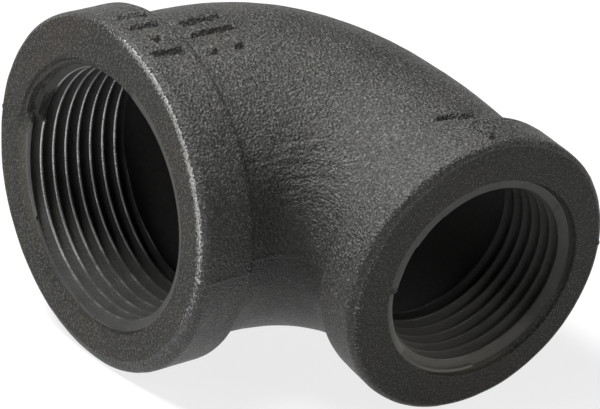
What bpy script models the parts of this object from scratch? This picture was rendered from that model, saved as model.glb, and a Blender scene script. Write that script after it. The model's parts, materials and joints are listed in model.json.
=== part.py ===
"""A 90 degree reducing elbow for threaded pipe, NPS 1 1/4 by NPS 1, in malleable cast iron.

The fitting is one casting, so it is one object. It is built up the way it is made:

1. The blank is what the mould gives: a tube that turns through 90 degrees while it narrows,
   with a thick reinforcing band round each end.
2. The core leaves the waterway: a chamber behind each thread, and the bend between the two.
3. Machining countersinks both openings and taps a taper pipe thread into each.

Frame: metres, +Z up, origin at the middle of the bottom of the bounding box. The axes of the
two openings cross at CENTRE. The large end faces -X and the small end faces -Y.
"""

from collections import namedtuple
from math import cos, pi, radians, sin

import bmesh
import bpy
from mathutils import Matrix, Vector

MM = 0.001
INCH = 25.4 * MM

# One threaded end. Depths are measured along its axis, from its face into the fitting.
#   to_face     from the crossing of the axes to the face
#   band        outer radius of the reinforcing band at the face
#   band_back   the same at the back of the band, smaller by the mould's draft
#   band_width  depth of the back of the band
#   body        outer radius of the body behind the band
#   chamber     radius of the cored chamber behind the thread
#   pitch       pitch radius of the thread in the plane of the face
#   thread      depth at which the thread has run out into the chamber
End = namedtuple("End", "to_face band band_back band_width body chamber pitch thread")

LARGE = End(
    to_face=1.58 * INCH,
    band=28.0 * MM,
    band_back=27.8 * MM,
    band_width=9.5 * MM,
    body=25.1 * MM,
    chamber=21.3 * MM,
    pitch=20.109 * MM,
    thread=18.4 * MM,
)
SMALL = End(
    to_face=1.67 * INCH,
    band=23.2 * MM,
    band_back=22.95 * MM,
    band_width=8.9 * MM,
    body=20.8 * MM,
    chamber=17.0 * MM,
    pitch=15.7305 * MM,
    thread=16.1 * MM,
)

FACE_EDGE = 1.0 * MM  # rounding between a band and its face
BACK_EDGE = 1.3 * MM  # rounding at the back of a band
FILLET = 0.9 * MM  # fillet between the back of a band and the body
CROTCH = 5.5 * MM  # outer radius on the inside of the bend
HEEL_FULLNESS = 2.48  # exponent of the heel's outline: 2 is an ellipse, and more is squarer
CORE_FULLNESS = 2.30  # the same for the waterway, so that the wall stays even round the heel

THREAD_PITCH = INCH / 11.5
THREAD_HEIGHT = 0.8 * THREAD_PITCH
THREAD_FLAT = 0.038 * THREAD_PITCH  # width of the flats on the thread's crest and root
TAPER = 1 / 32  # radius lost for each unit of depth: 1 in 16 on the diameter
SINK_OVER = 0.2 * MM  # how much wider the countersink is than the thread's root
SINK_OUT = 0.5 * MM  # how far the countersinking cone stands out of the face
SINK_IN = 3.0 * MM  # how deep it goes
SHOULDER = 1.6 * MM  # length of the slope from the thread to the chamber
SHOULDER_CLEAR = 0.6 * MM  # how far inside the thread's crest that slope begins
CLEAR = 0.3 * MM  # how far the tap runs past each end of the thread

BLANK_SIDES = 48
CORE_SIDES = 40
THREAD_SIDES = 36
BLANK_BEND_STEPS = 16
CORE_BEND_STEPS = 11
QUARTER = [radians(degrees) for degrees in (0, 30, 60, 90)]

CENTRE = Vector(
    (
        (LARGE.to_face - SMALL.band) / 2,
        (SMALL.to_face - LARGE.band) / 2,
        LARGE.band,
    )
)

# From an end's own axes, with the face at zero and +Z into the fitting, to the object's.
AXES = {
    LARGE: Matrix.Translation(CENTRE - Vector((LARGE.to_face, 0, 0)))
    @ Matrix.Rotation(pi / 2, 4, "Y"),
    SMALL: Matrix.Translation(CENTRE - Vector((0, SMALL.to_face, 0)))
    @ Matrix.Rotation(-pi / 2, 4, "X"),
}


def end_ring(end, depth, radius, sides):
    """A circle square to an end's axis. It starts at the top and goes by way of the heel."""
    ring = []
    for i in range(sides):
        turn = 2 * pi * i / sides
        along = depth - end.to_face
        across = radius * sin(turn)
        up = radius * cos(turn)
        ring.append(CENTRE + Vector((along, across, up) if end is LARGE else (across, along, up)))
    return ring


def band_rings(end, sides):
    """The outside of a reinforcing band, from the face back to the body."""
    back = end.band_width
    profile = [(FACE_EDGE * (1 - cos(a)), end.band - FACE_EDGE * (1 - sin(a))) for a in QUARTER]
    profile += [
        (back - BACK_EDGE * (1 - sin(a)), end.band_back - BACK_EDGE * (1 - cos(a)))
        for a in QUARTER
    ]
    profile += [(back + FILLET * (1 - cos(a)), end.body + FILLET * (1 - sin(a))) for a in QUARTER]
    return [end_ring(end, depth, radius, sides) for depth, radius in profile]


def reach(semi_axes, fullness, turn):
    """Distance from the middle of a superellipse to its outline, turn away from +Y towards +X."""
    x = sin(turn) / semi_axes[0]
    y = cos(turn) / semi_axes[1]
    return (x**fullness + y**fullness) ** (-1 / fullness)


def bend_rings(hub, large_radius, small_radius, fullness, steps, sides):
    """Sections that fan out about the upright line through hub, from the large tube to the
    small one. The inside of the bend is a quarter ellipse and the heel a superellipse."""
    inner = (-small_radius - hub.x, -large_radius - hub.y)
    outer = (small_radius - hub.x, large_radius - hub.y)
    rings = []
    for step in range(steps + 1):
        turn = pi / 2 * step / steps
        near = reach(inner, 2, turn)
        far = reach(outer, fullness, turn)
        half_width = (far - near) / 2
        half_height = large_radius * cos(turn) ** 2 + small_radius * sin(turn) ** 2
        outward = Vector((sin(turn), cos(turn), 0))
        middle = CENTRE + hub + outward * (near + far) / 2
        rings.append(
            [
                middle
                + outward * half_width * sin(2 * pi * i / sides)
                + Vector((0, 0, half_height * cos(2 * pi * i / sides)))
                for i in range(sides)
            ]
        )
    return rings


def object_from(name, bm):
    bmesh.ops.recalc_face_normals(bm, faces=bm.faces)
    mesh = bpy.data.meshes.new(name)
    bm.to_mesh(mesh)
    bm.free()
    mesh.shade_smooth()
    mesh.set_sharp_from_angle(angle=radians(35))
    obj = bpy.data.objects.new(name, mesh)
    bpy.context.scene.collection.objects.link(obj)
    return obj


def skinned(name, rings):
    """A closed solid through a row of rings, with a flat cap at each end."""
    bm = bmesh.new()
    rows = [[bm.verts.new(point) for point in ring] for ring in rings]
    for row, following in zip(rows, rows[1:]):
        for i in range(len(row)):
            bm.faces.new((row[i - 1], row[i], following[i], following[i - 1]))
    bm.faces.new(rows[0])
    bm.faces.new(rows[-1])
    return object_from(name, bm)


def blank():
    """The casting as the mould leaves it, without its core."""
    hub = Vector((-SMALL.body - CROTCH, -LARGE.body - CROTCH, 0))
    rings = band_rings(LARGE, BLANK_SIDES)
    rings += bend_rings(
        hub, LARGE.body, SMALL.body, HEEL_FULLNESS, BLANK_BEND_STEPS, BLANK_SIDES
    )
    rings += reversed(band_rings(SMALL, BLANK_SIDES))
    return skinned("elbow_casting", rings)


def shoulder_ring(end):
    """Where the slope from the thread to the chamber begins, inside the thread's crest."""
    depth = end.thread - SHOULDER
    crest = end.pitch - THREAD_HEIGHT / 2 - depth * TAPER
    return end_ring(end, depth, crest - SHOULDER_CLEAR, CORE_SIDES)


def waterway():
    """The core: the chamber behind each thread, and the bend that joins the chambers."""
    hub = Vector((LARGE.thread - LARGE.to_face, SMALL.thread - SMALL.to_face, 0))
    rings = [shoulder_ring(LARGE)]
    rings += bend_rings(
        hub, LARGE.chamber, SMALL.chamber, CORE_FULLNESS, CORE_BEND_STEPS, CORE_SIDES
    )
    rings.append(shoulder_ring(SMALL))
    return skinned("cut_waterway", rings)


def tap(name, end):
    """A solid with the shape of the tapped hole: a right-hand taper thread, whose surface is
    one band of faces wound along the helix and closed with a fan at each end."""
    half_flat = THREAD_FLAT / 2
    half_pitch = THREAD_PITCH / 2
    valley = -THREAD_HEIGHT / 2
    # Along the axis and out from the pitch cone, over one pitch.
    form = [
        (-half_flat, valley),
        (half_flat, valley),
        (half_pitch - half_flat, -valley),
        (half_pitch + half_flat, -valley),
    ]
    first = -CLEAR - THREAD_PITCH
    last = end.thread + CLEAR
    steps = round((last - first) / THREAD_PITCH * THREAD_SIDES)
    bm = bmesh.new()
    band = []
    for step in range(steps + THREAD_SIDES + 1):
        turn = 2 * pi * step / THREAD_SIDES
        row = []
        for along, out in form:
            depth = first + THREAD_PITCH * step / THREAD_SIDES + along
            radius = end.pitch + out - depth * TAPER
            row.append(bm.verts.new((radius * cos(turn), radius * sin(turn), depth)))
        band.append(row)
    rows = [band[i] + [band[i + THREAD_SIDES][0]] for i in range(steps + 1)]
    for row, following in zip(rows, rows[1:]):
        for i in range(len(form)):
            bm.faces.new((row[i], row[i + 1], following[i + 1], following[i]))
    close_helix(bm, rows[0], [row[0] for row in band[: THREAD_SIDES + 1]], first - CLEAR)
    final = last + THREAD_PITCH + CLEAR
    close_helix(bm, rows[-1], [row[0] for row in band[steps:]], final)
    unused = [vert for vert in bm.verts if not vert.link_faces]
    bmesh.ops.delete(bm, geom=unused, context="VERTS")
    bm.transform(AXES[end])
    return object_from(name, bm)


def close_helix(bm, section, turn, depth):
    """A fan from a point on the axis to one turn of the helix and the section that closes it."""
    tip = bm.verts.new((0, 0, depth))
    loop = turn + section[-2:0:-1]
    for i in range(len(loop)):
        bm.faces.new((loop[i - 1], loop[i], tip))


def countersink(name, end):
    """The 45 degree cone that opens the thread at the face."""
    mouth = end.pitch + THREAD_HEIGHT / 2 + SINK_OVER
    bm = bmesh.new()
    bmesh.ops.create_cone(
        bm,
        cap_ends=True,
        segments=THREAD_SIDES,
        radius1=mouth + SINK_OUT,
        radius2=mouth - SINK_IN,
        depth=SINK_OUT + SINK_IN,
        matrix=AXES[end] @ Matrix.Translation((0, 0, (SINK_IN - SINK_OUT) / 2)),
    )
    return object_from(name, bm)


def cut(body, cutter):
    cutter.hide_render = True
    cutter.display_type = "WIRE"
    cutter.parent = body
    boolean = body.modifiers.new(cutter.name, "BOOLEAN")
    boolean.operation = "DIFFERENCE"
    boolean.solver = "EXACT"
    boolean.object = cutter


def black_iron():
    """Malleable iron with the dark oxide skin that black pipe fittings have."""
    material = bpy.data.materials.new("black_iron")
    material.use_nodes = True
    shader = material.node_tree.nodes["Principled BSDF"]
    shader.inputs["Base Color"].default_value = (0.030, 0.030, 0.031, 1)
    shader.inputs["Metallic"].default_value = 0.6
    shader.inputs["Roughness"].default_value = 0.55
    return material


def main():
    for obj in list(bpy.data.objects):
        bpy.data.objects.remove(obj, do_unlink=True)
    casting = blank()
    casting.data.materials.append(black_iron())
    cut(casting, waterway())
    cut(casting, tap("cut_large_thread", LARGE))
    cut(casting, tap("cut_small_thread", SMALL))
    cut(casting, countersink("cut_large_countersink", LARGE))
    cut(casting, countersink("cut_small_countersink", SMALL))


main()
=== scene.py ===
"""Looks for the reducing pipe elbow: black malleable iron, cast skin outside, machined ends.

The CAD casting is shown by one finer mesh of the same casting, with the same driving sizes and
with what the foundry and the tapping machine leave behind: sand grain, a parting line, raised
casting marks, end faces cut a little off square, off-centre bores and worn edges.
Metres, +Z up. A turn goes round an opening from its top, towards +Y at the large one and +X at
the small one.
"""

import json
from math import cos, pi, radians, sin, tan

import bmesh
import bpy
import numpy as np
from mathutils import Matrix, Vector, noise


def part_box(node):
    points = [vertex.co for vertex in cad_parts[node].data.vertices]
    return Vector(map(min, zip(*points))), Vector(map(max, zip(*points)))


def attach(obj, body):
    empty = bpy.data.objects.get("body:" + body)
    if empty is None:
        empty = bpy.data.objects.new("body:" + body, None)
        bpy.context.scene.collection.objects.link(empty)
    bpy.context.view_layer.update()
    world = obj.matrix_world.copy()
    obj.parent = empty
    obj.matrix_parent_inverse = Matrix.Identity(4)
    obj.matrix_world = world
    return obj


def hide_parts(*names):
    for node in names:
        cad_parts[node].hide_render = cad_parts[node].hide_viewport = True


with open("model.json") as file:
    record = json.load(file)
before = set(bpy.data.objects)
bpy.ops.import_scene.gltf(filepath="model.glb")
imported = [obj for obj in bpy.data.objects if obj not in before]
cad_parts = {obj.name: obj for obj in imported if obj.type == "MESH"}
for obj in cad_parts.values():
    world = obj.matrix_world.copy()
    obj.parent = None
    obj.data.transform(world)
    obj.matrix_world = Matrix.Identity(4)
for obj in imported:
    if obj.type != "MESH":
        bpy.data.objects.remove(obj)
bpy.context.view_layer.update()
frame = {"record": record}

MM = 0.001
INCH = 25.4 * MM

mounts = {mount["name"]: Vector(mount["pos_m"]) for mount in frame["record"]["mounts"]}
low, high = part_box("elbow_casting")
# Where the axes of the two openings cross.
CENTRE = np.array(
    (mounts["small_end_face"].x, mounts["large_end_face"].y, (low.z + high.z) / 2)
)

THREAD_PITCH = INCH / 11.5
THREAD_HEIGHT = 0.8 * THREAD_PITCH
TAPER = 1 / 32  # fall of the thread's radius over the depth
FLANK = tan(radians(30))
CREST_FLAT = 0.36 * MM
ROOT_FLAT = 0.12 * MM
FIRST_CREST = 0.35 * MM  # depth of the first crest at the top
COUNTERSINK_SLOPE = 0.9  # fall of the countersink's radius over the depth
COUNTERSINK_CLEAR = 0.1 * MM  # how far outside the thread a point counts as countersunk
SHOULDER_SLOPE = 1.6  # rise of the radius over the depth where the thread ends
RECENTRE = 3 * MM  # length over which the off-centre bore comes back to the chamber's axis
# The thread is painted dark past this share of its depth, as shade deep in the bore.
DARK_FROM = 0.8  # share of the thread's depth past which it all darkens

FACE_EDGE = 1.0 * MM  # rounding between a band and its face
BACK_EDGE = 1.3 * MM  # length of the rounding at the back of a band
BACK_DROP = 1.2 * MM  # how far that rounding goes in
FILLET = 0.9 * MM  # length of the fillet between the back of a band and the body
FILLET_RISE = 0.85 * MM  # how far the fillet stands off the body
SOFT_TURN, SOFT_REACH = 325, 70  # degrees: where the small band's back is softer, and how far round
CROTCH = 5.5 * MM  # outer radius on the inside of the bend
HEEL_FULLNESS = 2.48  # exponent of the heel's outline: 2 is an ellipse, and more is squarer
CORE_FULLNESS = 2.30  # the same for the waterway

RECESS_EDGE = 0.6 * MM  # where the recess round a mouth is narrower than this, it is shallower
RECESS_SHARES = (0.25, 0.5, 0.75, 0.93, 1.0)  # of the way across the recess, a ring each
EDGE_WEAR = (1.05, 0.9, 0.35)  # share of an edge's wear on the skin's first rings from a face

ARC_STEPS, BAND_STEPS, FACE_STEPS = 6, 15, 10
BEND_STEPS, CORE_STEPS = 80, 24

# Columns of vertices round every ring, closer together at the two sides for the parting line.
COLUMNS = 252
SEAM = np.radians((-1.1, -0.5, 0.5, 1.1))
TURN = np.sort(
    np.concatenate([2 * pi * np.arange(COLUMNS) / COLUMNS, pi / 2 + SEAM, 3 * pi / 2 + SEAM])
)

CAST, MACHINED, THREAD, CORED = range(4)  # material slots
ATTRIBUTES = ("wear_and_painted_highlight", "rough", "painted_shading", "radius")


def smooth(share):
    """Eases a share of 0 to 1 in and out."""
    return share * share * (3 - 2 * share)


def curve(*knots):
    """A smooth closed curve over the turns, through knots of (degrees, value)."""
    turns, values = np.array(knots, float).T
    turns = np.concatenate([turns - 360, turns, turns + 360])
    values = np.tile(values, 3)
    at = np.degrees(TURN)
    k = np.searchsorted(turns, at, side="right") - 1
    share = smooth((at - turns[k]) / (turns[k + 1] - turns[k]))
    return values[k] + (values[k + 1] - values[k]) * share


class Opening:
    """One end of the elbow.

    Lengths, in millimetres:
      band, band_back, band_width, body, chamber, pitch, thread   as in the CAD part
      soft_back, soft_fillet   the rounding and the fillet behind the band where they are softest
      bore_off                 how far the bore lies off the band's axis, sideways and up
      mouth                    radius of the countersink in the plane of the face
      recess, recess_off, recess_depth   the shallow round recess that the facing tool left
      flat_edge                radius at which the flat face ends
    Levels:
      recess_towards           the turn that the recess is off-centre towards, in degrees
      crest_shine, worn        brightness of the crests, burnish with a painted highlight, and of the worn face edge, 0 to 1
      flank_shade, recess_shade   painted shade above 0, painted light below 0, from -1 to 1
    """

    def __init__(self, along, to_face, hand, lengths, levels):
        self.along = along  # 0 where the opening's axis is X, 1 where it is Y
        self.to_face = to_face
        self.hand = hand  # +1 where a right-hand thread goes deeper as the turns grow
        for name, length in lengths.items():
            setattr(self, name, np.asarray(length) * MM)
        for name, level in levels.items():
            setattr(self, name, level)

    def place(self, depth, radius, turn, off=0.0):
        """Points at that depth from the face, that far from the axis and that far round, with
        that share of the bore's offset."""
        depth, radius, turn = np.broadcast_arrays(depth, radius, turn)
        points = np.empty(depth.shape + (3,))
        points[..., self.along] = depth - self.to_face
        points[..., 1 - self.along] = radius * np.sin(turn) + off * self.bore_off[0]
        points[..., 2] = radius * np.cos(turn) + off * self.bore_off[1]
        return points + CENTRE


LARGE = Opening(
    along=0,
    to_face=CENTRE[0] - mounts["large_end_face"].x,
    hand=-1,
    lengths=dict(
        band=28.0, band_back=27.8, band_width=9.5, body=25.1, chamber=21.3, pitch=20.109,
        thread=18.4, soft_back=1.3, soft_fillet=0.9, bore_off=(-0.5, -0.05),
        mouth=curve(
            (0, 20.1), (40, 20.6), (58, 21.1), (72, 21.9), (82, 21.9), (89, 19.2), (145, 19.2),
            (175, 20.0), (230, 20.0), (270, 19.5), (320, 19.45),
        ),
        recess=21.5, recess_off=2.08, recess_depth=0.16,
        flat_edge=curve(
            (10, 27.5), (60, 27.3), (150, 27.0), (215, 26.0), (232, 25.5), (250, 25.5),
            (268, 26.3), (300, 26.3), (335, 27.2),
        ),
    ),
    # crest_shine is partly a painted highlight, and flank_shade and recess_shade are painted shade
    # and light, all by turn.
    levels=dict(
        recess_towards=135,
        recess_shade=curve(
            (57, 0.45), (84, 0.45), (96, -0.35), (130, -0.25), (150, 0), (185, 0), (200, 0.35),
            (235, 0.35), (260, 0), (340, 0),
        ),
        crest_shine=curve(
            (0, 0.7), (60, 0.85), (85, 1.0), (130, 0.88), (170, 0.56), (230, 0.52), (300, 0.7)
        ),
        flank_shade=curve((0, 0.5), (60, 0.8), (110, 0.5), (150, 0.35), (180, 0.65), (250, 0.7)),
        worn=curve(
            (15, 0.5), (40, 0.1), (150, 0.05), (225, 0.05), (262, 0.7), (290, 1.0), (350, 1.0)
        ),
    ),
)
SMALL = Opening(
    along=1,
    to_face=CENTRE[1] - mounts["small_end_face"].y,
    hand=1,
    lengths=dict(
        band=23.2, band_back=22.95, band_width=8.9, body=20.8, chamber=17.0, pitch=15.7305,
        thread=16.1, soft_back=2.6, soft_fillet=2.0, bore_off=(0.4, -0.25),
        mouth=curve(
            (0, 15.2), (33, 15.6), (90, 15.3), (150, 15.6), (200, 15.6), (240, 15.3),
            (262, 15.6), (275, 15.3), (310, 14.8), (340, 14.9),
        ),
        recess=16.7, recess_off=2.1, recess_depth=0.3,
        flat_edge=curve(
            (0, 22.2), (60, 22.4), (150, 22.5), (240, 22.4), (270, 22.1), (300, 21.4),
            (325, 21.3), (343, 21.8),
        ),
    ),
    # crest_shine is partly a painted highlight, and flank_shade and recess_shade are painted shade
    # and light, all by turn.
    levels=dict(
        recess_towards=120,
        recess_shade=curve(
            (20, 0.2), (60, 0.7), (100, 0.9), (108, 0.9), (112, 0.3), (145, 0), (160, -0.7),
            (185, -0.9), (205, -0.8), (230, -0.5), (250, 0), (340, 0),
        ),
        crest_shine=curve((0, 0.46), (90, 0.44), (200, 0.62), (300, 0.5)),
        flank_shade=curve(
            (0, 0.3), (60, 0.5), (110, 0.4), (150, -0.5), (190, -1.0), (230, -0.8), (300, 0)
        ),
        worn=curve((0, 0.3), (60, 0.05), (180, 0.1), (225, 0.5), (285, 0.6), (320, 0.3)),
    ),
)


def band_rings(end):
    """Rings down the outside of a band, from the edge of its face back to the body."""
    arc = np.linspace(0, pi / 2, ARC_STEPS)
    gap = np.abs((np.degrees(TURN) - SOFT_TURN + 180) % 360 - 180) / SOFT_REACH
    soft = smooth(np.clip(1 - gap, 0, 1))
    edge = BACK_EDGE + (end.soft_back - BACK_EDGE) * soft
    fillet = FILLET + (end.soft_fillet - FILLET) * soft
    drop = end.band - end.flat_edge
    rings = [(FACE_EDGE * (1 - cos(a)), end.band - drop * (1 - sin(a))) for a in arc]
    for share in np.linspace(0, 1, BAND_STEPS)[1:-1]:
        depth = FACE_EDGE + (end.band_width - edge - FACE_EDGE) * share
        rings.append((depth, end.band + (end.band_back - end.band) * share))
    for a in arc:
        depth = end.band_width - edge * (1 - sin(a))
        rings.append((depth, end.band_back - BACK_DROP * (1 - cos(a))))
    for a in arc:
        depth = end.band_width + fillet * (1 - cos(a))
        rings.append((depth, end.body + FILLET_RISE * (1 - sin(a))))
    return [end.place(depth, radius, TURN) for depth, radius in rings]


def reach(semi_axes, fullness, turn):
    """How far a quarter of a rounded outline with those semi-axes reaches at that turn."""
    x = np.sin(turn) / semi_axes[0]
    y = np.cos(turn) / semi_axes[1]
    return (x**fullness + y**fullness) ** (-1 / fullness)


def bend_rings(hub, large_radius, small_radius, fullness, turns):
    """Rings round a bend, each in an upright plane through the hub, on the crotch's side of it."""
    rings = []
    inner = (-small_radius - hub[0], -large_radius - hub[1])
    outer = (small_radius - hub[0], large_radius - hub[1])
    for turn in turns:
        near = reach(inner, 2, turn)
        far = reach(outer, fullness, turn)
        outward = np.array((sin(turn), cos(turn), 0))
        height = large_radius * cos(turn) ** 2 + small_radius * sin(turn) ** 2
        across = (near + far) / 2 + (far - near) / 2 * np.sin(TURN)
        points = CENTRE + hub + across[:, None] * outward
        points[:, 2] += height * np.cos(TURN)
        rings.append(points)
    return rings


class Skin:
    """A mesh in the making: rings of vertices with what the materials need, and faces."""

    def __init__(self):
        self.rows = []
        self.count = 0
        self.faces = []
        self.kinds = []

    def ring(self, points, wear_and_painted_highlight=0.0, rough=0.0, painted_shading=0.0, radius=0.0):
        """Adds vertices and gives back their numbers. wear brightens metal: wear, and on the
        crests also a painted highlight. rough scales the casting's unevenness, shade is painted
        shade above 0 and painted light below 0, and radius, from the bore's axis, is what lathe
        marks follow."""
        row = np.empty((len(points), 3 + len(ATTRIBUTES)))
        row[:, :3] = points
        for k, value in enumerate((wear_and_painted_highlight, rough, painted_shading, radius)):
            row[:, 3 + k] = value
        self.rows.append(row)
        self.count += len(points)
        return np.arange(self.count - len(points), self.count)

    def join(self, a, b, kind):
        """Quads between two rings of the same count, b being the next one along."""
        quads = np.stack([a, np.roll(a, -1), np.roll(b, -1), b], axis=1)
        self.faces.extend(quads.tolist())
        self.kinds.extend([kind] * len(quads))


def thread_form():
    """Points over one pitch from a crest: offset along the axis, radius from the pitch cone, and
    how much of a crest it is. The side of a crest towards the opening is worn round."""
    root = THREAD_HEIGHT / 2
    run = (THREAD_PITCH - CREST_FLAT - ROOT_FLAT) / 2
    crest = root - run / FLANK
    edge = CREST_FLAT / 2
    return [
        (-edge - 0.07 * MM, crest + 0.16 * MM, 1.0),
        (-edge + 0.04 * MM, crest + 0.03 * MM, 1.0),
        (0.0, crest, 1.0),
        (edge, crest + 0.05 * MM, 0.3),
        (edge + run * 0.3, crest + (root - crest) * 0.36, 0.0),
        (edge + run * 0.7, crest + (root - crest) * 0.74, 0.0),
        (THREAD_PITCH / 2 - 0.05 * MM, root, 0.0),
        (THREAD_PITCH / 2 + 0.05 * MM, root, 0.0),
        (THREAD_PITCH - edge - run * 0.6, crest + (root - crest) * 0.64, 0.0),
        (THREAD_PITCH - edge - 0.16 * MM, crest + 0.27 * MM, 0.0),
    ]


def bore(skin, end):
    """The tapped hole, as one band of faces wound along the helix. Gives back the ring at the
    face, the ring at the chamber and the mouth's radii."""
    form = thread_form()
    span = end.thread
    first = int(np.floor(-FIRST_CREST / THREAD_PITCH)) - 2
    last = int(np.ceil((span - FIRST_CREST) / THREAD_PITCH)) + 2
    knots = [
        (FIRST_CREST + lap * THREAD_PITCH + along, out, crest)
        for lap in range(first, last)
        for along, out, crest in form
    ]
    along, out, crest = np.array(knots).T[:, :, None]
    lead = end.hand * THREAD_PITCH * TURN / (2 * pi)
    depth = np.clip(along + lead, 0, span)
    thread_radius = end.pitch + out - depth * TAPER
    countersink = end.mouth - depth * COUNTERSINK_SLOPE
    shoulder = end.chamber - (span - depth) * SHOULDER_SLOPE
    radius = np.maximum(np.maximum(thread_radius, countersink), shoulder)

    at_face = depth <= 0
    at_end = depth >= span
    inner = ~(at_face | at_end)
    mouth = np.where(at_face, radius, 0).max(axis=0)
    # The mouth's ring carries the recess's painted shade and light; the chamber's ring is painted
    # dark, as shade deep in the bore.
    face_ring = skin.ring(end.place(0.0, mouth, TURN, 1.0), painted_shading=end.recess_shade, radius=mouth)
    end_ring = skin.ring(end.place(span, end.chamber, TURN), painted_shading=1.0)

    on_thread = radius <= thread_radius + 1e-9
    # The crests are burnished, and crest_shine puts a painted highlight on them that varies round
    # the bore.
    wear_and_painted_highlight = end.crest_shine * crest * on_thread
    # Painted shade: the thread darkens deeper in, past DARK_FROM of its depth; nearer the face the
    # flanks take their own painted shade and light, and the countersink takes the recess's.
    deep = (depth / span) ** 3 - 1.0 * (depth < span * DARK_FROM)
    countersunk = (radius > thread_radius + COUNTERSINK_CLEAR) & (depth < span / 2)
    painted_shading = np.where(countersunk, end.recess_shade, np.maximum(deep, end.flank_shade))
    off = np.clip((span - depth) / RECENTRE, 0, 1)
    points = end.place(depth, radius, TURN, off)
    ids = np.empty(depth.shape, int)
    ids[at_face] = np.broadcast_to(face_ring, depth.shape)[at_face]
    ids[at_end] = np.broadcast_to(end_ring, depth.shape)[at_end]
    ids[inner] = skin.ring(
        points[inner], wear_and_painted_highlight=wear_and_painted_highlight[inner], painted_shading=painted_shading[inner], radius=radius[inner]
    )
    turned = np.zeros(skin.count, bool)
    turned[face_ring] = True
    turned[ids[inner & countersunk]] = True

    # The last column meets the first one a whole pitch further along.
    rows = len(knots)
    wrapped = np.empty(rows, int)
    for k in range(rows):
        j = k + len(form) * end.hand
        wrapped[k] = face_ring[0] if j < 0 else end_ring[0] if j >= rows else ids[j, 0]
    ids = np.concatenate([ids, wrapped[:, None]], axis=1)
    quads = np.stack([ids[:-1, :-1], ids[:-1, 1:], ids[1:, 1:], ids[1:, :-1]], axis=-1)
    for quad in quads.reshape(-1, 4).tolist():
        corners = [corner for k, corner in enumerate(quad) if corner != quad[k - 1]]
        if len(set(corners)) >= 3:
            skin.faces.append(corners)
            skin.kinds.append(MACHINED if turned[corners].all() else THREAD)
    return face_ring, end_ring, mouth


def face_rings(skin, end, mouth_ring, mouth, edge_ring):
    """The machined face from the mouth to the band's edge, with the shallow off-centre recess
    round the mouth."""
    start = end.place(0.0, mouth, TURN, 1.0) - CENTRE
    inner = np.hypot(start[:, 1 - end.along], start[:, 2])
    turn = np.arctan2(start[:, 1 - end.along], start[:, 2])
    rim = end.recess + end.recess_off * np.cos(turn - radians(end.recess_towards))
    rim = np.maximum(rim, inner + 0.02 * MM)
    sunk = np.clip((rim - inner) / RECESS_EDGE, 0, 1) * end.recess_depth
    previous = mouth_ring
    for share in RECESS_SHARES:
        radius = inner + (rim - inner) * share
        depth = sunk * (1 - share) ** 0.5 if share > 0.9 else sunk
        # The recess carries the painted shade and light, up to its rim.
        ring = skin.ring(
            end.place(depth, radius, turn), wear_and_painted_highlight=0.12 * (share == 1.0), radius=radius,
            painted_shading=end.recess_shade * (share < 1.0),
        )
        skin.join(previous, ring, MACHINED)
        previous = ring
    # From the bore's own turns to the band's.
    twist = (TURN - turn + pi) % (2 * pi) - pi
    for share in np.linspace(0, 1, FACE_STEPS)[1:-1]:
        radius = rim + (end.flat_edge - rim) * share
        wear_and_painted_highlight = end.worn * (0.8 if share > 0.85 else 0.35 if share > 0.7 else 0.0)
        points = end.place(0.0, radius, turn + twist * share)
        ring = skin.ring(points, wear_and_painted_highlight=wear_and_painted_highlight, rough=0.1, radius=radius)
        skin.join(previous, ring, MACHINED)
        previous = ring
    skin.join(previous, edge_ring, MACHINED)


def outside(skin):
    """The cast skin, from one face's edge round the bend to the other. Gives back both edges."""
    hub = np.array((-SMALL.body - CROTCH, -LARGE.body - CROTCH, 0))
    turns = np.linspace(0, pi / 2, BEND_STEPS)
    rings = [(LARGE, k, points) for k, points in enumerate(band_rings(LARGE))]
    rings += [
        (None, None, points)
        for points in bend_rings(hub, LARGE.body, SMALL.body, HEEL_FULLNESS, turns)
    ]
    rings += [(SMALL, k, points) for k, points in reversed(list(enumerate(band_rings(SMALL))))]
    ids = []
    for end, k, points in rings:
        wear_and_painted_highlight = end.worn * EDGE_WEAR[k] if end and k < len(EDGE_WEAR) else 0.0
        ids.append(skin.ring(points, wear_and_painted_highlight=wear_and_painted_highlight, rough=0.15 if k == 0 else 1.0))
    for a, b in zip(ids, ids[1:]):
        skin.join(a, b, CAST)
    return ids[0], ids[-1]


def inside(skin, edges):
    """Both faces and bores, and the cored waterway between the bores."""
    chambers = []
    for end, edge_ring in zip((LARGE, SMALL), edges):
        mouth_ring, chamber_ring, mouth = bore(skin, end)
        face_rings(skin, end, mouth_ring, mouth, edge_ring)
        chambers.append(chamber_ring)
    hub = np.array((LARGE.thread - LARGE.to_face, SMALL.thread - SMALL.to_face, 0))
    turns = np.linspace(0, pi / 2, CORE_STEPS)[1:-1]
    previous = chambers[0]
    for points in bend_rings(hub, LARGE.chamber, SMALL.chamber, CORE_FULLNESS, turns):
        ring = skin.ring(points, painted_shading=1.0)
        skin.join(previous, ring, CORED)
        previous = ring
    skin.join(previous, chambers[1], CORED)


def casting():
    """The mesh of the whole casting."""
    skin = Skin()
    inside(skin, outside(skin))
    rows = np.concatenate(skin.rows)
    mesh = bpy.data.meshes.new("casting")
    mesh.from_pydata(rows[:, :3].tolist(), [], skin.faces)
    mesh.polygons.foreach_set("material_index", skin.kinds)
    for k, name in enumerate(ATTRIBUTES):
        values = mesh.attributes.new(name, "FLOAT", "POINT")
        values.data.foreach_set("value", rows[:, 3 + k])
    bm = bmesh.new()
    bm.from_mesh(mesh)
    loose = [vert for vert in bm.verts if not vert.link_faces]
    bmesh.ops.delete(bm, geom=loose, context="VERTS")
    bmesh.ops.recalc_face_normals(bm, faces=bm.faces)
    refine_marks(bm)
    bm.to_mesh(mesh)
    bm.free()
    weather(mesh)
    mesh.shade_smooth()
    mesh.set_sharp_from_angle(angle=radians(34))
    return mesh


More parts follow.
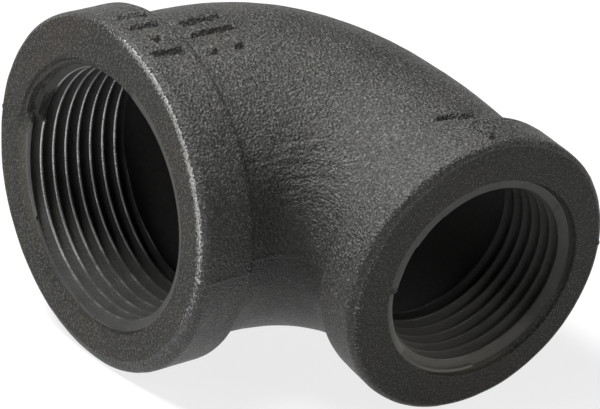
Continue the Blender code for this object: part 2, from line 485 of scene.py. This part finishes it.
# Generic raised casting marks: plain bars and pips, each from one end to the other as
# millimetres (x, y) from where the axes cross, with its half width.
MARKS = (
    ((-37.6, 5.2), (-33.6, 4.4), 0.6),
    ((-37.9, 1.4), (-33.8, 1.0), 0.6),
    ((-36.0, -2.0), (-36.0, -2.2), 0.9),
    ((-38.0, -5.4), (-33.8, -5.6), 0.6),
    ((-27.6, 3.4), (-20.6, 3.4), 0.65),
    ((-27.6, -0.2), (-20.6, -0.2), 0.65),
    ((-26.6, -4.2), (-26.6, -4.3), 1.0),
    ((-22.0, -4.2), (-22.0, -4.3), 1.0),
    ((-1.6, -29.4), (3.8, -30.6), 0.55),
    ((0.2, -37.0), (0.4, -40.0), 0.55),
)
MARK_HEIGHT = 0.8 * MM
MARK_SLOPE = 0.4  # width of a mark's side, in millimetres
MARK_ROOM = 1.2  # how far round a mark the skin is cut finer, in millimetres
MARKS_ABOVE = 10  # the marks are on the top, at least this far above the axes, in millimetres


def mark_lift(point):
    """How far the casting marks lift a point of the skin's top."""
    x, y, z = (Vector(point) - Vector(CENTRE)) / MM
    if z < MARKS_ABOVE:
        return 0.0
    lift = 0.0
    for (ax, ay), (bx, by), half in MARKS:
        dx, dy = bx - ax, by - ay
        share = min(max(((x - ax) * dx + (y - ay) * dy) / (dx * dx + dy * dy), 0), 1)
        gap = ((x - ax - dx * share) ** 2 + (y - ay - dy * share) ** 2) ** 0.5
        lift = max(lift, smooth(min(max((half + MARK_SLOPE / 2 - gap) / MARK_SLOPE, 0), 1)))
    return lift * MARK_HEIGHT


def refine_marks(bm):
    """Cuts the skin finer where the marks stand."""
    near = []
    for face in bm.faces:
        x, y, z = (face.calc_center_median() - Vector(CENTRE)) / MM
        if face.material_index != CAST or z < MARKS_ABOVE:
            continue
        for (ax, ay), (bx, by), half in MARKS:
            room = half + MARK_ROOM
            beside = min(ax, bx) - room < x < max(ax, bx) + room
            if beside and min(ay, by) - room < y < max(ay, by) + room:
                near.append(face)
                break
    edges = {edge for face in near for edge in face.edges}
    bmesh.ops.subdivide_edges(bm, edges=list(edges), cuts=2, use_grid_fill=True)


# What sand casting leaves, each as the size of its lumps and their height.
SLOW = (9 * MM, 0.10 * MM)
QUICK = (2.2 * MM, 0.035 * MM)
NICKS = (1.1 * MM, 0.12 * MM)  # along worn edges
FLASH_VARIES = (1.5 * MM, 0.08 * MM)
FLASH_HEIGHT = 0.14 * MM
FLASH_REACH = 0.35 * MM  # from the parting line to the flash's foot
FLASH_WEAR = 0.35  # how bright the flash is worn


def lumps(place, size_and_height):
    """How far a smooth unevenness lifts a point."""
    size, height = size_and_height
    return noise.noise(Vector(place / size)) * height


def read(values, name, width=1):
    """A mesh's values as an array, with one row for each element."""
    flat = np.empty(len(values) * width)
    values.foreach_get(name, flat)
    return flat.reshape(-1, width) if width > 1 else flat


def weather(mesh):
    """Moves the skin's vertices by what sand casting leaves: a slow and a quick unevenness, the
    flash of the parting line, the raised marks and the nicks of worn edges."""
    points = read(mesh.vertices, "co", 3)
    normals = read(mesh.vertex_normals, "vector", 3)
    rough = read(mesh.attributes["rough"].data, "value")
    wear_and_painted_highlight = read(mesh.attributes["wear_and_painted_highlight"].data, "value")
    for k in np.flatnonzero(rough > 0):
        place, normal = points[k], normals[k]
        move = lumps(place, SLOW) + lumps(place, QUICK)
        seam = abs(place[2] - CENTRE[2]) / FLASH_REACH
        if seam < 1 and abs(normal[2]) < 0.4:
            move += (1 - seam * seam) * (FLASH_HEIGHT + lumps(place, FLASH_VARIES))
            wear_and_painted_highlight[k] += FLASH_WEAR * (1 - seam)
        if normal[2] > 0.5:
            move += mark_lift(place)
        if wear_and_painted_highlight[k] > 0.7:
            move += lumps(place, NICKS)
        points[k] = place + normal * move * rough[k]
    mesh.vertices.foreach_set("co", points.ravel())
    mesh.attributes["wear_and_painted_highlight"].data.foreach_set("value", wear_and_painted_highlight)
    mesh.update()


class Nodes:
    """A material's nodes, made and joined in one call each."""

    def __init__(self, name):
        self.material = bpy.data.materials.new(name)
        self.material.use_nodes = True
        self.tree = self.material.node_tree
        self.shader = self.tree.nodes["Principled BSDF"]
        self.coords = self.add("TexCoord").outputs["Object"]

    def put(self, target, value):
        """Sets a socket, or joins another one to it."""
        if isinstance(value, bpy.types.NodeSocket):
            self.tree.links.new(value, target)
        else:
            target.default_value = value

    def look(self, **inputs):
        """Sets the shader's sockets, whose names have _ for a space."""
        for name, value in inputs.items():
            self.put(self.shader.inputs[name.replace("_", " ")], value)

    def add(self, kind, settings=(), **inputs):
        """A node. Its inputs go by name, with _ for a space, or by number, as in i0."""
        node = self.tree.nodes.new("ShaderNode" + kind)
        for name, value in dict(settings).items():
            setattr(node, name, value)
        for name, value in inputs.items():
            numbered = name[0] == "i" and name[1:].isdigit()
            self.put(node.inputs[int(name[1:]) if numbered else name.replace("_", " ")], value)
        return node

    def noise(self, scale, detail=2.0, roughness=0.5, vector=None):
        node = self.add(
            "TexNoise", Vector=vector or self.coords, Scale=scale, Detail=detail,
            Roughness=roughness,
        )
        return node.outputs["Fac"]

    def math(self, operation, a, b):
        return self.add("Math", {"operation": operation}, i0=a, i1=b).outputs[0]

    def fit(self, value, low, high, to_low=0.0, to_high=1.0):
        """value, moved from the range low to high into another one, and kept within it."""
        node = self.add("MapRange", i0=value, i1=low, i2=high, i3=to_low, i4=to_high)
        return node.outputs[0]

    def mix(self, share, a, b):
        """A colour from a to b."""
        node = self.add("Mix", {"data_type": "RGBA"}, i0=share)
        self.put(node.inputs[6], a if isinstance(a, bpy.types.NodeSocket) else (*a, 1))
        self.put(node.inputs[7], b if isinstance(b, bpy.types.NodeSocket) else (*b, 1))
        return node.outputs[2]

    def attribute(self, name):
        return self.add("Attribute", {"attribute_name": name}).outputs["Fac"]

    def bump(self, height, distance, strength=1.0, normal=None):
        node = self.add("Bump", Height=height, Distance=distance, Strength=strength)
        if normal:
            self.put(node.inputs["Normal"], normal)
        return node.outputs[0]

    def speckled(self, share, pattern, spread, low, high):
        """A mask of where share, moved up and down by a pattern, goes from low to high."""
        moved = self.math("ADD", share, self.fit(pattern, 0.3, 0.7, -spread, spread))
        return self.fit(moved, low, high)

    def near(self, spot, far, close, most=1.0):
        """Grows from 0 at far to most at close to a spot, all in millimetres, and the spot from
        where the axes cross."""
        centre = tuple(CENTRE + np.array(spot) * MM)
        gap = self.add("VectorMath", {"operation": "DISTANCE"}, i0=self.coords, i1=centre)
        return self.fit(gap.outputs["Value"], far * MM, close * MM, 0.0, most)


def cast_skin():
    """Black scale over sand grain, bare on the grains' tops and worn edges; painted shadow in the
    crotch.
    """
    n = Nodes("cast_skin")
    grain = n.noise(2900, 3.0, 0.65)
    pits = n.add(
        "TexVoronoi", {"feature": "SMOOTH_F1"}, Vector=n.coords, Scale=2300.0, Smoothness=0.4
    ).outputs["Distance"]
    patches = n.noise(90, 3.0, 0.6)
    rust = n.noise(160, 2.0, 0.5)
    colour = n.mix(n.fit(patches, 0.35, 0.65), (0.026, 0.0255, 0.0235), (0.041, 0.0402, 0.0372))
    colour = n.mix(n.fit(rust, 0.5, 0.75, 0.0, 0.6), colour, (0.046, 0.041, 0.033))
    colour = n.mix(n.fit(grain, 0.50, 0.38, 0.0, 0.9), colour, (0.006, 0.006, 0.006))
    colour = n.mix(n.fit(grain, 0.52, 0.66, 0.0, 0.8), colour, (0.17, 0.168, 0.158))
    worn = n.speckled(n.attribute("wear_and_painted_highlight"), grain, 0.45, 0.75, 1.05)
    colour = n.mix(worn, colour, (0.55, 0.55, 0.54))
    # Painted shadow in the crotch's pocket, and above it the wrinkles of squeezed sand, which lie
    # level.
    colour = n.mix(n.near((-22, -24, 1), 15, 4, 0.55), colour, (0.010, 0.010, 0.009))
    level = n.add("Mapping", {"vector_type": "POINT"}, Vector=n.coords, Scale=(0.22, 0.22, 1.0))
    ripple = n.noise(1100, 2.0, 0.5, vector=level.outputs[0])
    wrinkles = n.math("MULTIPLY", ripple, n.near((-23, -23, 14), 11, 4))
    relief = n.bump(wrinkles, 0.7 * MM, 0.8)
    relief = n.bump(grain, 0.45 * MM, 0.7, relief)
    relief = n.bump(pits, 0.3 * MM, 0.5, relief)
    n.look(
        Base_Color=colour, Metallic=n.math("MULTIPLY", worn, 0.6),
        Roughness=n.fit(patches, 0.3, 0.7, 0.40, 0.54), Normal=relief,
    )
    return n.material


def machined_face():
    """Faced and countersunk iron, gone dull, with rusty patches, lathe lines, bare specks, and
    painted shade and light round the mouth.
    """
    n = Nodes("machined_face")
    grain = n.noise(2900, 3.0, 0.65)
    patches = n.noise(120, 3.0, 0.55)
    rust = n.noise(70, 1.5, 0.5)
    lathe = n.add(
        "TexNoise", {"noise_dimensions": "1D"}, W=n.attribute("radius"), Scale=5200.0, Detail=1.0
    ).outputs["Fac"]
    painted_shading = n.attribute("painted_shading")
    colour = n.mix(n.fit(patches, 0.3, 0.7), (0.006, 0.0061, 0.0044), (0.0142, 0.0140, 0.0107))
    colour = n.mix(n.fit(rust, 0.5, 0.66, 0.0, 0.6), colour, (0.026, 0.0165, 0.0118))
    colour = n.mix(n.fit(grain, 0.49, 0.66, 0.0, 0.9), colour, (0.15, 0.145, 0.128))
    # Painted shade above 0 and painted light below 0, by turn round the mouth and its countersink.
    colour = n.mix(n.fit(painted_shading, 0.0, 1.0, 0.0, 0.9), colour, (0.004, 0.004, 0.004))
    colour = n.mix(n.fit(painted_shading, 0.0, -1.0, 0.0, 0.9), colour, (0.13, 0.118, 0.092))
    colour = n.mix(n.fit(lathe, 0.6, 0.8, 0.0, 0.2), colour, (0.06, 0.06, 0.058))
    worn = n.speckled(n.attribute("wear_and_painted_highlight"), grain, 0.45, 0.6, 1.05)
    colour = n.mix(worn, colour, (0.42, 0.42, 0.41))
    relief = n.bump(grain, 0.6 * MM, 0.8)
    relief = n.bump(lathe, 0.08 * MM, 0.3, relief)
    n.look(
        Base_Color=colour, Metallic=n.math("MULTIPLY", worn, 0.6),
        Roughness=n.fit(grain, 0.3, 0.7, 0.5, 0.62), Specular_IOR_Level=0.3, Normal=relief,
    )
    return n.material


def thread_metal():
    """Cut iron: dull flanks and burnished crests, with a painted highlight on the crests, and
    painted shade and light on the flanks and deeper in.
    """
    n = Nodes("thread_metal")
    grain = n.noise(2200, 3.0, 0.6)
    patches = n.noise(240, 3.0, 0.6)
    painted_shading = n.attribute("painted_shading")
    # crest: burnished crests with a painted highlight, its strength set round the bore by
    # crest_shine.
    crest = n.speckled(n.attribute("wear_and_painted_highlight"), patches, 0.08, 0.55, 0.95)
    colour = n.mix(n.fit(patches, 0.3, 0.7), (0.042, 0.042, 0.039), (0.072, 0.071, 0.066))
    colour = n.mix(crest, colour, (0.75, 0.75, 0.75))
    # Painted shade above 0, deep in the bore and on flanks that the lamps miss, and painted light
    # below 0.
    colour = n.mix(n.fit(painted_shading, 0.0, 1.0, 0.0, 0.7), colour, (0.016, 0.016, 0.015))
    colour = n.mix(n.fit(painted_shading, 0.0, -1.0, 0.0, 0.9), colour, (0.30, 0.29, 0.26))
    n.look(
        Base_Color=colour, Metallic=n.math("MULTIPLY", crest, 0.9),
        Roughness=n.fit(crest, 0.0, 1.0, 0.5, 0.26), Specular_IOR_Level=0.35,
        Normal=n.bump(grain, 0.3 * MM, 0.5),
    )
    return n.material


def cored_skin():
    """The rough waterway that the sand core left."""
    n = Nodes("cored_skin")
    grain = n.noise(1400, 3.0, 0.6)
    n.look(
        Base_Color=n.mix(grain, (0.06, 0.06, 0.058), (0.15, 0.148, 0.142)),
        Roughness=n.fit(grain, 0.3, 0.7, 0.7, 0.9), Normal=n.bump(grain, 0.3 * MM, 0.5),
    )
    return n.material


# The camera looks down into the crotch from far off through a long lens, a little rolled.
AZIMUTH, ELEVATION, ROLL = -38.665, 31.315, 8.158
DISTANCE = 1517.5 * MM
SIDEWAYS, UPWARDS = -2.783 * MM, -10.073 * MM
LENS = 594.24
SENSOR = 36


def camera_axes():
    """The directions right, up and back of the camera."""
    a, e, r = radians(AZIMUTH), radians(ELEVATION), radians(ROLL)
    back = Vector((sin(a) * cos(e), -cos(a) * cos(e), sin(e)))
    right = Vector((0, 0, 1)).cross(back).normalized()
    up = back.cross(right)
    return right * cos(r) + up * sin(r), up * cos(r) - right * sin(r), back


def linked(name, data):
    """A new object of that data, in the scene."""
    obj = bpy.data.objects.new(name, data)
    bpy.context.scene.collection.objects.link(obj)
    return obj


def camera():
    """The scene's camera, sharp at every distance."""
    right, up, back = camera_axes()
    data = bpy.data.cameras.new("camera")
    data.lens = LENS
    data.sensor_width = SENSOR
    data.clip_start, data.clip_end = 0.1, 20
    obj = linked("camera", data)
    place = Vector(CENTRE) + right * SIDEWAYS + up * UPWARDS + back * DISTANCE
    obj.matrix_world = Matrix.Translation(place) @ Matrix((right, up, back)).transposed().to_4x4()
    bpy.context.scene.camera = obj


FLOOR_SIDE = 8.0
FLOOR_GAP = 0.15 * MM
FLOOR_GLOW = 0.80  # what the camera sees of it
FLOOR_BOUNCE = 0.2  # share of the glow that falls on the elbow


def floor():
    """The elbow rests on both bands, so it leans towards its small end: here the floor leans
    instead, because the model keeps its frame."""
    lean = np.arctan2(SMALL.to_face, SMALL.band) - np.arccos(
        LARGE.band / np.hypot(SMALL.to_face, SMALL.band)
    )
    upward = Vector((0, sin(lean), cos(lean)))
    mesh = bpy.data.meshes.new("floor")
    half = FLOOR_SIDE / 2
    corners = [(-half, -half, 0), (half, -half, 0), (half, half, 0), (-half, half, 0)]
    mesh.from_pydata(corners, [], [(0, 1, 2, 3)])
    obj = linked("floor", mesh)
    obj.location = Vector(CENTRE) - upward * (LARGE.band + FLOOR_GAP)
    obj.rotation_euler = upward.to_track_quat("Z", "Y").to_euler()
    n = Nodes("floor_paper")
    bounced = n.add("LightPath").outputs["Is Diffuse Ray"]
    n.look(
        Base_Color=n.mix(n.noise(40), (0.20, 0.20, 0.20), (0.22, 0.22, 0.22)),
        Roughness=1.0, Specular_IOR_Level=0.0, Emission_Color=(1, 1, 1, 1),
        Emission_Strength=n.fit(bounced, 0.0, 1.0, FLOOR_GLOW, FLOOR_GLOW * FLOOR_BOUNCE),
    )
    mesh.materials.append(n.material)


# Soft boxes: the direction that each shines from, as right, up and back along the camera's axes,
# its distance and side in metres, its watts, and what it is turned to, in millimetres from where
# the axes cross. The accent is close to the small end, which is lit more than the large end.
LIGHTS = {
    "key": ((-0.40, 0.85, 0.34), 0.8, 0.24, 9.6, (0, 0, 0)),
    "front": ((-0.60, 0.30, 0.74), 0.8, 0.40, 0.6, (0, 0, 0)),
    "rim": ((0.89, 0.41, -0.20), 0.8, 0.40, 0.4, (0, 0, 0)),
    "fill": ((0.62, 0.30, 0.72), 0.8, 0.30, 0.5, (0, 0, 0)),
    "accent": ((-0.30, 0.80, 0.52), 0.15, 0.04, 0.12, (8, -41, 22)),
}
ROOM_LIGHT = 0.03  # of the room itself, on everything but the camera


def soft_box(name, direction, distance, side, watts, target):
    """A square light."""
    right, up, back = camera_axes()
    towards = (right * direction[0] + up * direction[1] + back * direction[2]).normalized()
    data = bpy.data.lights.new(name, "AREA")
    data.shape = "SQUARE"
    data.size = side
    data.energy = watts
    obj = linked(name, data)
    obj.location = Vector(CENTRE) + Vector(target) * MM + towards * distance
    obj.rotation_euler = (-towards).to_track_quat("-Z", "Y").to_euler()


def studio():
    """Soft boxes in a dim room, which the camera alone sees white."""
    world = bpy.data.worlds.new("studio")
    world.use_nodes = True
    tree = world.node_tree
    dim = tree.nodes["Background"]
    dim.inputs["Color"].default_value = (1, 1, 1, 1)
    dim.inputs["Strength"].default_value = ROOM_LIGHT
    white = tree.nodes.new("ShaderNodeBackground")
    white.inputs["Color"].default_value = (1, 1, 1, 1)
    path = tree.nodes.new("ShaderNodeLightPath")
    mix = tree.nodes.new("ShaderNodeMixShader")
    tree.links.new(path.outputs["Is Camera Ray"], mix.inputs[0])
    tree.links.new(dim.outputs[0], mix.inputs[1])
    tree.links.new(white.outputs[0], mix.inputs[2])
    tree.links.new(mix.outputs[0], tree.nodes["World Output"].inputs["Surface"])
    bpy.context.scene.world = world
    for name, settings in LIGHTS.items():
        soft_box(name, *settings)
    bpy.context.scene.view_settings.view_transform = "Standard"


camera()
elbow = linked("casting", casting())
for material in (cast_skin(), machined_face(), thread_metal(), cored_skin()):
    elbow.data.materials.append(material)
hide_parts("elbow_casting")
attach(elbow, "root")
floor()
studio()
